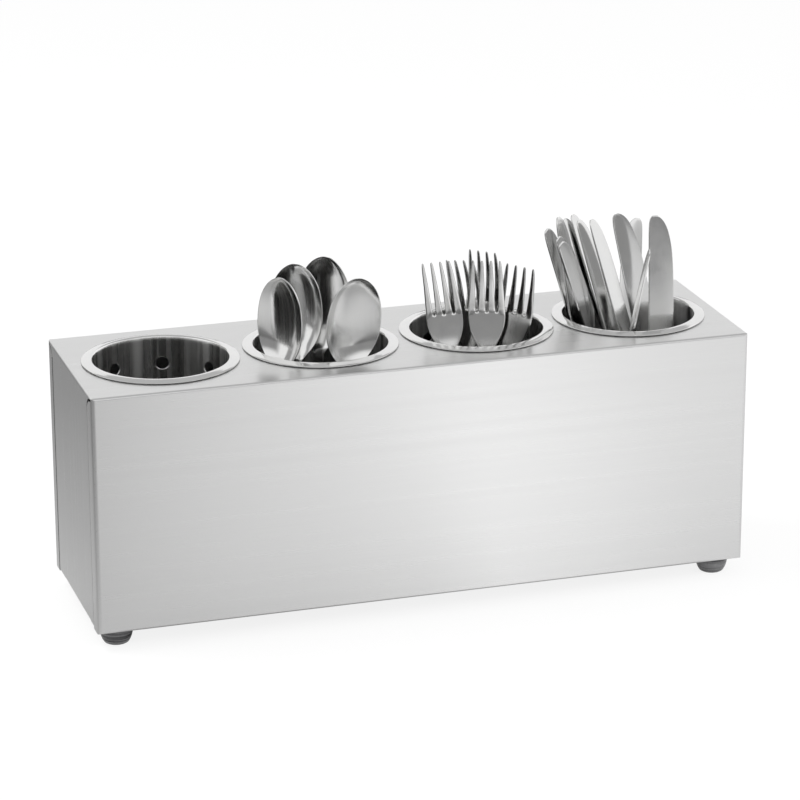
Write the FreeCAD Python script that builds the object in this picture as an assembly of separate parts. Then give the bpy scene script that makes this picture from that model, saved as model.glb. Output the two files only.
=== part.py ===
import FreeCAD, Part
import math
import os

from FreeCAD import Vector

# A counter-top cutlery dispenser: one folded stainless housing on four rubber feet, with four
# perforated cups that hang by their brims in round holes and lift out, and the cutlery in them.
# Millimetres. The origin is on the floor below the middle; +X runs to the right along the
# length, +Y to the back and +Z up.

# --- Housing -------------------------------------------------------------------------------
housing_length = 490.0
housing_depth = 143.0
housing_height = 176.0
sheet = 1.0
top_bend = 1.8  # outside radius of the bends along the top and bottom edges
corner_bend = 3.2  # outside radius where the front and back sheets turn round the corners
wrap_width = 13.5  # how far front and back sheets come round onto each end
lap_width = 14.0  # set-back lap of each wrap, spot-welded behind the end panel
lap_step = 1.2  # height over which a wrap steps back into its lap
seam_gap = 0.5  # open joint between a wrap and the end panel
relief_drop = 9.0  # height of the curved relief at each top corner
relief_gap = 1.6  # width of that relief where it meets the corner
relief_tab_curve = (0.3, 0.66)  # its wrap side passes here: shares of wrap width and drop
relief_panel_curve = (0.27, 0.82)  # and its panel side here
end_clearance = 2.5  # the end panels stop this far above the bottom edge
flange_width = 36.0  # flanges turned inwards along the bottom of front and back
flange_relief = 5.0  # the flanges stop this far from the end panels
cutter_margin = 1.0  # how far a cutter stands out of what it cuts

# --- Feet ----------------------------------------------------------------------------------
foot_height = 13.5
foot_top_diameter = 25.0
foot_sole_diameter = 17.6
foot_step = 4.2  # height of the straight band under the flange
foot_step_inset = 1.0  # the cone starts this far inside the band
foot_inset_x = 17.0  # from the end of the housing to the middle of a foot
foot_inset_y = 18.0  # from the front or back to the middle of a foot
stud_diameter = 5.0
stud_grip = 8.0  # length of stud held in the rubber
stud_clearance = 0.3  # in the flange
stud_end = 1.5  # thread that shows above the nut
nut_across_flats = 8.0
nut_height = 4.0

# --- Cups ----------------------------------------------------------------------------------
cup_count = 4
cup_pitch = 118.7
cup_bore = 97.0
cup_wall = 0.7
cup_height = 137.0  # underside to the top of the brim
brim_diameter = 113.7
brim_rise = 2.5  # inner edge of the brim above the top of the housing
brim_edge = 0.9  # height of the brim's outer edge
cup_hole_clearance = 0.8  # between the cup's wall and the edge of its hole in the housing
wall_hole_diameter = 9.5
wall_holes_per_row = 8
wall_hole_turn = 30.6  # first hole of the upper row, degrees from +X
upper_row_depth = 18.5  # below the top of the housing
wall_cutter_reach = 5.0  # a hole's cutter goes this far to each side of the bore
drain_diameter = 10.0

# --- Cutlery -------------------------------------------------------------------------------
seat_gap = 0.3  # cutlery stands this far off the cup's floor
wall_clearance = 1.5  # and its axis keeps this far inside the bore

handle_width = 18.0
handle_neck_width = 6.6
handle_thickness = 2.2
handle_bow = 3.5  # how far the handle arches forward
handle_end_curve = (0.7, 0.25)  # its round end passes here: shares of the half width
handle_side_curve = (0.66, 0.42)  # its side passes here: shares of half width and height
strip_margin = 2.0  # a bent strip is this much wider than the outline that trims it

spoon_length = 195.0
spoon_neck_length = 12.0  # narrow stretch of the handle below the bowl
spoon_neck_rise = 4.0  # ends of the bend that brings the neck into the bowl
spoon_neck_flare = 1.6  # the neck's half width grows by this on its way into the bowl
bowl_joint = 5.0  # the handle runs this far up inside the bowl
bowl_length = 73.0
bowl_width = 42.0
bowl_depth = 8.5
bowl_thickness = 1.3
bowl_rim_cut = 0.6  # the rim is cut level this far up the bowl's sides
bowl_steps = 4  # straight steps along the bowl
bowl_fullness = 0.8  # under 1 makes the bowl's ends fuller
bowl_heel = 1.12  # depth near the handle, as a share of the middle's
bowl_toe = 0.88  # and near the tip
bowl_overturn = 8.0  # degrees swept past the rim before it is cut level

fork_length = 190.0
fork_head_length = 70.0
fork_head_width = 27.0
fork_neck_length = 10.0  # narrow stretch of the handle below the head
fork_neck_rise = 8.0  # height over which the neck starts to widen
fork_neck_flare = 1.1
fork_shoulder = (0.72, 9.0)  # the shoulder passes here: share of half width, height
fork_root_margin = 3.0  # the tines start this far below the ends of the slots
fork_bend_rise = 6.0  # where the neck passes the line of the handle's end
fork_bow = 5.0
tine_count = 4
tine_length = 40.0
tine_root_width = 5.2
tine_tip_width = 1.8
tine_tip_span = 19.5
fork_thickness = 1.9

knife_length = 212.0
knife_handle_length = 96.0
knife_end_width = 19.0
knife_end_bevel = 2.0
knife_neck_width = 13.0
knife_handle_thickness = 6.0
knife_waist_thickness = 3.6  # where the handle meets the blade
blade_width = 19.5
blade_thickness = 1.6
blade_heel = 3.0  # the blade's cutting edge starts this far above the handle
blade_shoulder = 12.0  # height over which the blade's back widens from the handle
blade_overlap = 1.0  # blade and handle are one piece
blade_curve = 46.0  # the cutting edge curves over this last stretch
blade_tip_bevel = 5.0
blade_edge_curve = (0.18, 0.26)  # the curved edge passes here: shares of width and curve

# --- Levels and places worked out from the sizes --------------------------------------------
base_z = foot_height
top_z = base_z + housing_height
half_length = housing_length / 2
half_depth = housing_depth / 2
bore_radius = cup_bore / 2
cup_outer_radius = bore_radius + cup_wall
brim_radius = brim_diameter / 2
brim_top = top_z + brim_rise
cup_bottom = brim_top - cup_height
cup_floor = cup_bottom + cup_wall
stand_radius = bore_radius - wall_clearance
cup_centres = [(i - (cup_count - 1) / 2) * cup_pitch for i in range(cup_count)]
foot_places = [
    (side * (half_length - foot_inset_x), face * (half_depth - foot_inset_y))
    for side in (-1, 1)
    for face in (-1, 1)
]


# --- Helpers -------------------------------------------------------------------------------
def box(x_range, y_range, z_range):
    """A box between two values on each axis."""
    low = Vector(x_range[0], y_range[0], z_range[0])
    high = Vector(x_range[1], y_range[1], z_range[1])
    size = high - low
    return Part.makeBox(size.x, size.y, size.z, low)


def rod(radius, low, high, x=0.0, y=0.0):
    """An upright cylinder between two heights."""
    return Part.makeCylinder(radius, high - low, Vector(x, y, low))


def line(start, end):
    return Part.makeLine(start, end)


def arc(start, middle, end):
    return Part.Arc(start, middle, end).toShape()


def face_of(edges):
    """A flat face bounded by edges that are given in order."""
    return Part.Face(Part.Wire(edges))


def polyline(points):
    return [line(a, b) for a, b in zip(points, points[1:])]


def mirrored(shape, normal):
    return shape.mirror(Vector(0, 0, 0), normal)


def turned(edges):
    """The solid of revolution about the Z axis of a closed profile in the XZ plane."""
    return face_of(edges).revolve(Vector(0, 0, 0), Vector(0, 0, 1), 360)


def copies(solid, places):
    """Separate copies of one solid at several places in plan."""
    moved = []
    for x, y in places:
        copy = solid.copy()
        copy.translate(Vector(x, y, 0))
        moved.append(copy)
    return Part.makeCompound(moved)


def save(name, shape):
    shape.exportStep("parts/" + name + ".step")


# --- Housing -------------------------------------------------------------------------------
def round_rectangle(low, high, radii):
    """Edges of a rectangle in the plane of (u, v), its corners rounded by radii.

    radii gives lower left, lower right, upper right and upper left; zero leaves a corner sharp.
    """
    corners = [(low[0], low[1]), (high[0], low[1]), (high[0], high[1]), (low[0], high[1])]
    inward = [(1, 1), (-1, 1), (-1, -1), (1, -1)]
    along_x = [False, True, False, True]
    points = []
    for (u, v), (du, dv), radius, across in zip(corners, inward, radii, along_x):
        start = (u + du * radius, v) if across else (u, v + dv * radius)
        end = (u, v + dv * radius) if across else (u + du * radius, v)
        cut = radius * (1 - math.sqrt(0.5))
        points.append((start, (u + du * cut, v + dv * cut), end, radius))
    return points


def rounded_prism(low, high, radii, place, depth):
    """A prism on a rounded rectangle; place turns (u, v) into a point, depth is its thickness."""
    corners = round_rectangle(low, high, radii)
    edges = []
    for i, (start, middle, end, radius) in enumerate(corners):
        if radius > 0:
            edges.append(arc(place(*start), place(*middle), place(*end)))
        edges.append(line(place(*end), place(*corners[(i + 1) % 4][0])))
    return face_of(edges).extrude(depth)


def rounded_block(inset):
    """The housing's block, all its faces moved in by inset, with the bends rounded.

    It is what three prisms have in common: the plan, the long section and the end section.
    """
    x, y = half_length - inset, half_depth - inset
    low, high = base_z + inset, top_z - inset
    corner, bend = corner_bend - inset, top_bend - inset
    plan_shape = rounded_prism(
        (-x, -y), (x, y), [corner] * 4, lambda u, v: Vector(u, v, low), Vector(0, 0, high - low)
    )
    long_shape = rounded_prism(
        (-y, low), (y, high), [bend] * 4, lambda u, v: Vector(-x, u, v), Vector(2 * x, 0, 0)
    )
    end_shape = rounded_prism(
        (-x, low), (x, high), [0, 0, bend, bend], lambda u, v: Vector(u, -y, v), Vector(0, 2 * y, 0)
    )
    return plan_shape.common(long_shape).common(end_shape)


def relief_slot():
    """The open joint between the front wrap and the right end panel, in the end's plane.

    It runs straight up the seam and then curves forward to the corner, where it is widest.
    """
    tab_edge = -half_depth + wrap_width
    panel_edge = tab_edge + seam_gap
    bend_z = top_z - top_bend - relief_drop
    tip_y = -half_depth + top_bend
    tip_z = top_z - sheet
    outside = half_length - sheet
    tab_top = Vector(outside, tip_y, tip_z - relief_gap)
    panel_top = Vector(outside, tip_y, tip_z)
    near, rise = relief_tab_curve
    tab_middle = Vector(outside, tab_edge - near * wrap_width, bend_z + rise * relief_drop)
    near, rise = relief_panel_curve
    panel_middle = Vector(outside, panel_edge - near * wrap_width, bend_z + rise * relief_drop)
    tab_bend = Vector(outside, tab_edge, bend_z)
    panel_bend = Vector(outside, panel_edge, bend_z)
    tab_foot = Vector(outside, tab_edge, base_z - sheet)
    panel_foot = Vector(outside, panel_edge, base_z - sheet)
    outline = face_of(
        [
            line(tab_foot, tab_bend),
            arc(tab_bend, tab_middle, tab_top),
            line(tab_top, panel_top),
            arc(panel_top, panel_middle, panel_bend),
            line(panel_bend, panel_foot),
            line(panel_foot, tab_foot),
        ]
    )
    return outline.extrude(Vector(2 * sheet, 0, 0))


def corner_lap():
    """The set-back lap of the front wrap behind the right end panel."""
    start = -half_depth + wrap_width - lap_step
    end = -half_depth + wrap_width + seam_gap + lap_width
    inner_face = half_length - 2 * sheet
    top = top_z - top_bend - relief_drop
    return box((inner_face, half_length - sheet), (start, end), (base_z, top))


def at_four_corners(solid):
    """A solid at the front right corner and its three mirror images."""
    front = [solid, mirrored(solid, Vector(1, 0, 0))]
    return front + [mirrored(s, Vector(0, 1, 0)) for s in front]


def make_hood():
    """The folded sheet: top, front, back and two ends, open underneath."""
    hood = rounded_block(0.0).cut(rounded_block(sheet))
    bottom = (base_z - sheet, base_z + sheet)
    inside_x = half_length - sheet
    flange_y = half_depth - flange_width
    panel_y = half_depth - wrap_width
    relief_x = inside_x - flange_relief
    openings = [
        box((-inside_x, inside_x), (-flange_y, flange_y), bottom),
        box((relief_x, inside_x), (sheet - half_depth, half_depth - sheet), bottom),
        box((-inside_x, -relief_x), (sheet - half_depth, half_depth - sheet), bottom),
    ]
    panel_bottom = (base_z - sheet, base_z + end_clearance)
    for side in (-1, 1):
        reach = sorted((side * inside_x, side * (half_length + sheet)))
        openings.append(box(reach, (-panel_y, panel_y), panel_bottom))
    hole_radius = cup_outer_radius + cup_hole_clearance
    openings += [rod(hole_radius, top_z - 2 * sheet, top_z + sheet, x) for x in cup_centres]
    stud_hole = stud_diameter / 2 + stud_clearance
    openings += [rod(stud_hole, *bottom, x, y) for x, y in foot_places]
    openings += at_four_corners(relief_slot())
    hood = hood.cut(openings)
    return hood.fuse(at_four_corners(corner_lap())).removeSplitter()


# --- Feet and their fasteners ---------------------------------------------------------------
def make_foot():
    """A rubber foot moulded round the head of its stud: a band, a step and a cone."""
    top = foot_top_diameter / 2
    waist = top - foot_step_inset
    sole = foot_sole_diameter / 2
    band_z = foot_height - foot_step
    stud = stud_diameter / 2
    outline = [
        Vector(0, 0, 0),
        Vector(sole, 0, 0),
        Vector(waist, 0, band_z),
        Vector(top, 0, band_z),
        Vector(top, 0, foot_height),
        Vector(stud, 0, foot_height),
        Vector(stud, 0, foot_height - stud_grip),
        Vector(0, 0, foot_height - stud_grip),
        Vector(0, 0, 0),
    ]
    return turned(polyline(outline))


def make_stud():
    """A plain stud held in the foot, up through the flange and the nut."""
    tip = base_z + sheet + nut_height + stud_end
    return rod(stud_diameter / 2, foot_height - stud_grip, tip)


def make_nut():
    """A hexagon nut that holds the flange down on the foot; its bore seats on the stud."""
    low = base_z + sheet
    corner = nut_across_flats / math.sqrt(3)
    angles = [math.radians(60 * i) for i in range(7)]
    points = [Vector(corner * math.cos(a), corner * math.sin(a), low) for a in angles]
    prism = Part.Face(Part.makePolygon(points)).extrude(Vector(0, 0, nut_height))
    bore = rod(stud_diameter / 2, low - cutter_margin, low + nut_height + cutter_margin)
    return prism.cut(bore)


# --- Cups ----------------------------------------------------------------------------------
def cup_profile():
    """Half section of a cup: bore, brim with its flat seat, outside wall and floor."""
    edge_top = Vector(brim_radius, 0, top_z + brim_edge)
    points = [
        edge_top,
        Vector(brim_radius, 0, top_z),
        Vector(cup_outer_radius, 0, top_z),
        Vector(cup_outer_radius, 0, cup_bottom),
        Vector(0, 0, cup_bottom),
        Vector(0, 0, cup_floor),
        Vector(bore_radius, 0, cup_floor),
        Vector(bore_radius, 0, brim_top),
        edge_top,
    ]
    return polyline(points)


def wall_holes(z, first_angle):
    """A ring of round cutters through the wall."""
    cutters = []
    for i in range(wall_holes_per_row):
        angle = math.radians(first_angle + i * 360 / wall_holes_per_row)
        outward = Vector(math.cos(angle), math.sin(angle), 0)
        start = outward * (bore_radius - wall_cutter_reach) + Vector(0, 0, z)
        reach = 2 * wall_cutter_reach
        cutters.append(Part.makeCylinder(wall_hole_diameter / 2, reach, start, outward))
    return cutters


def make_cup():
    """One perforated cup, on the Z axis, with a drain hole in its floor."""
    cutters = wall_holes(top_z - upper_row_depth, wall_hole_turn)
    drain = rod(drain_diameter / 2, cup_bottom - cutter_margin, cup_floor + cutter_margin)
    cutters.append(drain)
    return turned(cup_profile()).cut(cutters)


# --- Cutlery, standing on its handle along +Z with its face towards -Y ----------------------
def strip(points, thickness, width):
    """A bent strip: a line in side view, given as (y, z), made thick and wide."""
    near = [Vector(-width / 2, y - thickness / 2, z) for y, z in points]
    far = [Vector(-width / 2, y + thickness / 2, z) for y, z in points]
    return face_of(polyline(near + far[::-1] + near[:1])).extrude(Vector(width, 0, 0))


def plan(right_side, reach):
    """A symmetric flat outline in the XZ plane, made thick along Y.

    right_side is the list of edges from the bottom on the middle line to the top.
    """
    left_side = [mirrored(e, Vector(1, 0, 0)) for e in right_side]
    outline = Part.Wire(Part.__sortEdges__(right_side + left_side))
    solid = Part.Face(outline).extrude(Vector(0, 2 * reach, 0))
    solid.translate(Vector(0, -reach, 0))
    return solid


def handle_side(top):
    """The right side of a handle: a rounded end that narrows up to the neck."""
    wide = handle_width / 2
    neck = handle_neck_width / 2
    out, up = handle_end_curve
    end = [Vector(0, 0, 0), Vector(out * wide, 0, up * wide), Vector(wide, 0, wide)]
    out, up = handle_side_curve
    side = [Vector(wide, 0, wide), Vector(out * wide, 0, up * top), Vector(neck, 0, top)]
    return [arc(*end), arc(*side)]


def make_spoon():
    neck_z = spoon_length - bowl_length
    inside = neck_z + bowl_joint
    narrow = neck_z - spoon_neck_length
    neck = handle_neck_width / 2
    right = handle_side(narrow)
    flared = neck * spoon_neck_flare
    right += polyline([Vector(neck, 0, narrow), Vector(flared, 0, inside), Vector(0, 0, inside)])
    line_of_handle = [
        (handle_bow, 0),
        (0.2 * handle_bow, 0.2 * neck_z),
        (-0.5 * handle_bow, 0.5 * neck_z),
        (-handle_bow, narrow - spoon_neck_rise),
        (-0.7 * handle_bow, narrow + spoon_neck_rise),
        (handle_thickness / 2, neck_z),
        (1.5 * handle_thickness, inside),
    ]
    handle = strip(line_of_handle, handle_thickness, handle_width + strip_margin)
    handle = handle.common(plan(right, handle_width))
    return handle.fuse(make_bowl(neck_z)).removeSplitter()


def make_bowl(low_z):
    """The bowl: a thin crescent turned about an axis in front of it, kept behind its rim."""
    half = bowl_width / 2
    turn_radius = (half**2 + bowl_depth**2) / (2 * bowl_depth)
    axis_y = bowl_depth - turn_radius
    outer = crescent_side(low_z, low_z + bowl_length, bowl_depth)
    inner = crescent_side(
        low_z + 2 * bowl_thickness, low_z + bowl_length - 2 * bowl_thickness, bowl_depth - bowl_thickness
    )
    crescent = face_of(polyline(outer + inner[::-1] + outer[:1]))
    turn = math.degrees(math.acos(-axis_y / turn_radius)) + bowl_overturn
    crescent.rotate(Vector(0, axis_y, 0), Vector(0, 0, 1), -turn)
    swept = crescent.revolve(Vector(0, axis_y, 0), Vector(0, 0, 1), 2 * turn)
    depth = (bowl_rim_cut, 2 * bowl_depth)
    levels = (low_z - cutter_margin, low_z + bowl_length + cutter_margin)
    room = box((-bowl_width, bowl_width), depth, levels)
    return swept.common(room)


def crescent_side(low, high, depth):
    """One side of the bowl's section in short straight steps, deepest below the middle."""
    points = []
    for i in range(bowl_steps + 1):
        angle = math.pi * i / bowl_steps
        rise = (1 - math.cos(angle)) / 2
        z = low + (high - low) * rise
        share = bowl_heel + (bowl_toe - bowl_heel) * rise
        points.append(Vector(0, depth * math.sin(angle) ** bowl_fullness * share, z))
    return points


def tine_outline(index):
    """One tapering tine in the XZ plane, from the head to its rounded tip."""
    share = index / (tine_count - 1) - 0.5
    root_x = share * (fork_head_width - tine_root_width)
    tip_x = share * (tine_tip_span - tine_tip_width)
    root_z = fork_length - tine_length - fork_root_margin
    tip_z = fork_length - tine_tip_width
    root = tine_root_width / 2
    tip = tine_tip_width / 2
    corners = [
        Vector(root_x - root, 0, root_z),
        Vector(root_x + root, 0, root_z),
        Vector(tip_x + tip, 0, tip_z),
    ]
    corners.append(Vector(tip_x + tip / 2, 0, fork_length))
    corners.append(Vector(tip_x - tip / 2, 0, fork_length))
    corners.append(Vector(tip_x - tip, 0, tip_z))
    return face_of(polyline(corners + corners[:1]))


def make_fork():
    head_z = fork_length - fork_head_length
    root_z = fork_length - tine_length
    narrow = head_z - fork_neck_length
    half = fork_head_width / 2
    neck = handle_neck_width / 2
    out, up = fork_shoulder
    shoulder = [
        Vector(neck, 0, narrow),
        Vector(neck * fork_neck_flare, 0, narrow + fork_neck_rise),
        Vector(out * half, 0, head_z + up),
        Vector(half, 0, root_z - fork_root_margin),
    ]
    right = handle_side(narrow)
    right += polyline(shoulder[:2])
    right += [arc(shoulder[1], shoulder[2], shoulder[3])]
    right += polyline([shoulder[-1], Vector(half, 0, root_z), Vector(0, 0, root_z)])
    reach = fork_head_width
    body = plan(right, reach)
    tines = []
    for i in range(tine_count):
        tine = tine_outline(i).extrude(Vector(0, 2 * reach, 0))
        tine.translate(Vector(0, -reach, 0))
        tines.append(tine)
    line_of_fork = [
        (handle_bow, 0),
        (-0.4 * handle_bow, 0.4 * head_z),
        (-handle_bow, narrow - strip_margin),
        (0, head_z + fork_bend_rise),
        (fork_bow, root_z),
        (0.6 * fork_bow, root_z + 0.55 * tine_length),
        (-0.5 * fork_bow, fork_length),
    ]
    side = strip(line_of_fork, fork_thickness, fork_head_width + strip_margin)
    return side.common(body.fuse(tines)).removeSplitter()


def make_knife():
    """A table knife in one piece: a flat handle that swells to its round end, and a blade."""
    return knife_handle().fuse(knife_blade()).removeSplitter()


def knife_handle():
    """What the handle's front outline and its tapering side outline have in common."""
    hilt = knife_handle_length
    end = knife_end_width / 2
    neck = knife_neck_width / 2
    thick = knife_handle_thickness / 2
    waist = knife_waist_thickness / 2
    front = [
        arc(Vector(-end, -thick, end), Vector(0, -thick, 0), Vector(end, -thick, end)),
        line(Vector(end, -thick, end), Vector(neck, -thick, hilt)),
        line(Vector(neck, -thick, hilt), Vector(-neck, -thick, hilt)),
        line(Vector(-neck, -thick, hilt), Vector(-end, -thick, end)),
    ]
    outline = face_of(front).extrude(Vector(0, 2 * thick, 0))
    side = [
        Vector(-end, -thick / 2, 0),
        Vector(-end, -thick, knife_end_bevel),
        Vector(-end, -waist, hilt),
        Vector(-end, waist, hilt),
        Vector(-end, thick, knife_end_bevel),
        Vector(-end, thick / 2, 0),
    ]
    return outline.common(face_of(polyline(side + side[:1])).extrude(Vector(2 * end, 0, 0)))


def knife_blade():
    """A flat blade with a straight back, a heel beside the handle and a curved point."""
    hilt = knife_handle_length
    half = blade_width / 2
    heel = hilt + blade_heel
    root = knife_neck_width / 2
    back = [
        Vector(-root, 0, hilt - blade_overlap),
        Vector(-half, 0, hilt + blade_shoulder),
        Vector(-half, 0, knife_length - blade_tip_bevel),
        Vector(-half + blade_tip_bevel, 0, knife_length),
    ]
    edge = [
        Vector(half, 0, knife_length - blade_curve),
        Vector(half, 0, heel + blade_heel),
        Vector(half - blade_heel, 0, heel),
        Vector(root / 2, 0, hilt - blade_overlap),
    ]
    inward, down = blade_edge_curve
    middle = Vector(half - inward * blade_width, 0, knife_length - down * blade_curve)
    outline = polyline(back) + [arc(back[-1], middle, edge[0])] + polyline(edge + back[:1])
    blade = face_of(outline).extrude(Vector(0, blade_thickness, 0))
    blade.translate(Vector(0, -blade_thickness / 2, 0))
    return blade


def stand(item, cup_x, foot, rim, turn):
    """Stand a piece of cutlery in a cup, leaning from a point on the floor to one at the rim.

    foot and rim are (share of the usable radius, degrees from +X); turn spins the piece about
    its own length before it leans.
    """
    low = polar(foot, cup_floor)
    high = polar(rim, brim_top)
    placed = item.copy()
    placed.rotate(Vector(0, 0, 0), Vector(0, 0, 1), turn)
    placed = placed.copy()
    lean = FreeCAD.Rotation(Vector(0, 0, 1), high - low)
    placed.Placement = FreeCAD.Placement(low, lean).multiply(placed.Placement)
    lowest = placed.optimalBoundingBox().ZMin
    placed.translate(Vector(cup_x, 0, cup_floor + seat_gap - lowest))
    return placed


def polar(place, z):
    share, angle = place
    radius = share * stand_radius
    return Vector(
        radius * math.cos(math.radians(angle)), radius * math.sin(math.radians(angle)), z
    )


# Where each piece stands: foot on the cup's floor, crossing point at the brim, and turn.
spoon_places = [
    ((0.68, 185), (0.85, 206), -57),
    ((0.37, 202), (0.38, 175), -39),
    ((0.80, 79), (0.51, 71), -42),
    ((0.10, 313), (0.65, 300), 5),
]
fork_places = [
    ((0.60, 245), (0.59, 198), -24),
    ((0.15, 352), (0.18, 199), -35),
    ((0.41, 73), (0.31, 58), -38),
    ((0.28, 38), (0.57, 324), -32),
    ((0.41, 277), (0.35, 279), -21),
]
knife_places = [
    ((0.84, 74), (0.91, 145), 44),
    ((0.52, 43), (0.69, 182), 44),
    ((0.76, 55), (0.69, 158), 48),
    ((0.81, 224), (0.83, 164), 42),
    ((0.83, 23), (0.80, 107), 43),
    ((0.49, 344), (0.72, 106), 43),
    ((0.63, 301), (0.39, 133), 40),
    ((0.77, 316), (0.27, 103), 42),
    ((0.84, 351), (0.33, 32), 12),
    ((0.67, 248), (0.84, 67), 195),
    ((0.90, 289), (0.57, 315), -1),
    ((0.40, 151), (0.79, 255), 73),
]


def main():
    os.makedirs("parts", exist_ok=True)
    save("hood", make_hood())
    save("feet", copies(make_foot(), foot_places))
    save("foot_studs", copies(make_stud(), foot_places))
    save("foot_nuts", copies(make_nut(), foot_places))
    cup = make_cup()
    for number, x in enumerate(cup_centres, 1):
        copy = cup.copy()
        copy.translate(Vector(x, 0, 0))
        save("cup_" + str(number), copy)
    families = [
        ("spoon", make_spoon(), cup_centres[1], spoon_places),
        ("fork", make_fork(), cup_centres[2], fork_places),
        ("knife", make_knife(), cup_centres[3], knife_places),
    ]
    for name, item, x, places in families:
        for number, (foot, rim, turn) in enumerate(places, 1):
            save(name + "_" + str(number), stand(item, x, foot, rim, turn))


main()
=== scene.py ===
# %% [markdown]
# # A counter-top cutlery dispenser
# One folded sheet of stainless steel stands on four rubber feet. Four perforated cups hang by
# their brims in round holes of its top, and three of them hold spoons, forks and knives.
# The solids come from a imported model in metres, with its origin on the floor below the middle,
# +X to the right, +Y to the back and +Z up. This lesson loads them, dresses the flat sheet with
# a grain, and replaces the cups, the feet and the cutlery with finer meshes in the same places.

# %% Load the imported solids
import math

import bmesh
import bpy
from mathutils import Matrix, Vector


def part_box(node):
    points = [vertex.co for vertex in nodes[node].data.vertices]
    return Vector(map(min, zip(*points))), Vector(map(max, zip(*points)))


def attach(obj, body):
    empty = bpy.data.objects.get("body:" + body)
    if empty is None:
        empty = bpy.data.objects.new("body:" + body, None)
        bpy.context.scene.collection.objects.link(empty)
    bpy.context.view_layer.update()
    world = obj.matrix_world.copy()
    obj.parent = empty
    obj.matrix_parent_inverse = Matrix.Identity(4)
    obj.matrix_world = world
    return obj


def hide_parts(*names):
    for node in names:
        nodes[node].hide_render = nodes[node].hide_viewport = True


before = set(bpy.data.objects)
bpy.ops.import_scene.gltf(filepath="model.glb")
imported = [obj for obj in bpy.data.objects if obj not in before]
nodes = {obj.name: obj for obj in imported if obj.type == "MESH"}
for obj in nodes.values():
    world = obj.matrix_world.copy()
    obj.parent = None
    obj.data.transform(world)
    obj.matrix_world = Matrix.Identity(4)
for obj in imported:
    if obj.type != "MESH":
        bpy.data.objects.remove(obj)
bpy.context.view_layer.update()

MM = 0.001

# %% [markdown]
# ## The camera
# Seen from far away through a long lens, parallel edges stay almost parallel, which shows the
# proportions of an object well. The camera stands in front and to the left, and looks down on the
# top by about 19 degrees. It could be aimed with a Track To constraint; three angles are used
# instead, because they also hold the very small roll.

# %% Camera
camera_place = Vector((-0.7126, -2.2988, 0.9674))
camera_yaw = 0.3009  # to the right, about +Z
camera_pitch = 0.3310  # downwards
camera_roll = -0.0026
camera_lens = 156.3  # millimetres, on a sensor of 36 mm

ahead = Vector((
    math.sin(camera_yaw) * math.cos(camera_pitch),
    math.cos(camera_yaw) * math.cos(camera_pitch),
    -math.sin(camera_pitch),
))
level = Vector((math.cos(camera_yaw), -math.sin(camera_yaw), 0.0))
upright = level.cross(ahead)
side = math.cos(camera_roll) * level + math.sin(camera_roll) * upright
top = math.cos(camera_roll) * upright - math.sin(camera_roll) * level
camera_data = bpy.data.cameras.new("studio_camera")
camera_data.lens = camera_lens
camera_data.sensor_width = 36.0
camera_data.clip_start = 0.05
camera_data.clip_end = 60.0
camera = bpy.data.objects.new("studio_camera", camera_data)
bpy.context.scene.collection.objects.link(camera)
camera.matrix_world = Matrix.Translation(camera_place) @ Matrix(
    [[side[i], top[i], -ahead[i]] for i in range(3)]
).to_4x4()
bpy.context.scene.camera = camera
print("camera at", [round(v, 3) for v in camera_place], "lens", camera_lens)

# %% [markdown]
# ## Sizes that the finer meshes share with the solids
# A mesh that stands in for a solid must lie where the solid lies. Sizes are read from the boxes
# of the solids where that is possible. A box can't tell a wall or a bore, so such sizes are
# written down again, beside the mesh that uses them.

# %% Shared sizes
hood_low, hood_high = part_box("hood")
top_z = hood_high.z
cup_boxes = {i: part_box(f"cup_{i}") for i in (1, 2, 3, 4)}
cup_x = {i: (low.x + high.x) / 2 for i, (low, high) in cup_boxes.items()}
brim_radius = (cup_boxes[1][1].x - cup_boxes[1][0].x) / 2
brim_top = cup_boxes[1][1].z
cup_bottom = cup_boxes[1][0].z
cup_wall = 0.7 * MM
bore_radius = 48.5 * MM
cup_floor = cup_bottom + cup_wall
print("cup centres in mm:", {i: round(x / MM, 2) for i, x in cup_x.items()})
print("brim radius", round(brim_radius / MM, 2), "brim top", round(brim_top / MM, 1))

# %% [markdown]
# ## Small helpers
# Nearly every mesh here is made from rings or rows of points with bmesh. One helper turns a
# finished bmesh into an object that rides on a body of the model and names the finish that it
# takes, so that no piece is ever left behind when a cup is lifted. The other joins two rings or
# rows of points by faces.


# %% Mesh helpers
def object_from(name, bm, body, material, smooth=True):
    """Make an object from a bmesh, give it its finish and let it ride on a body."""
    bmesh.ops.recalc_face_normals(bm, faces=bm.faces)
    mesh = bpy.data.meshes.new(name)
    bm.to_mesh(mesh)
    bm.free()
    for polygon in mesh.polygons:
        polygon.use_smooth = smooth
    mesh.materials.append(material)
    made = bpy.data.objects.new(name, mesh)
    bpy.context.scene.collection.objects.link(made)
    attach(made, body)
    return made


def quads_between(bm, low_row, high_row, closed):
    """Join two rows of points of equal length by quads."""
    count = len(low_row)
    for i in range(count if closed else count - 1):
        j = (i + 1) % count
        bm.faces.new((low_row[i], low_row[j], high_row[j], high_row[i]))


# %% [markdown]
# ## Node helpers for the finishes
# All finishes are Principled shaders whose roughness, colour and bump come from noise in object
# space. Object space is used because every solid has its origin at the same place, so a grain
# of 0.4 mm is 0.4 mm on every piece, and no unwrapping is needed.


# %% A finish and its noise
def new_finish(name, **settings):
    """A material with one Principled shader, its plain numbers set on the sockets."""
    material = bpy.data.materials.new(name)
    material.use_nodes = True
    tree = material.node_tree
    shader = tree.nodes["Principled BSDF"]
    for socket, value in settings.items():
        shader.inputs[socket.replace("_", " ")].default_value = value
    return material, tree, shader


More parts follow.
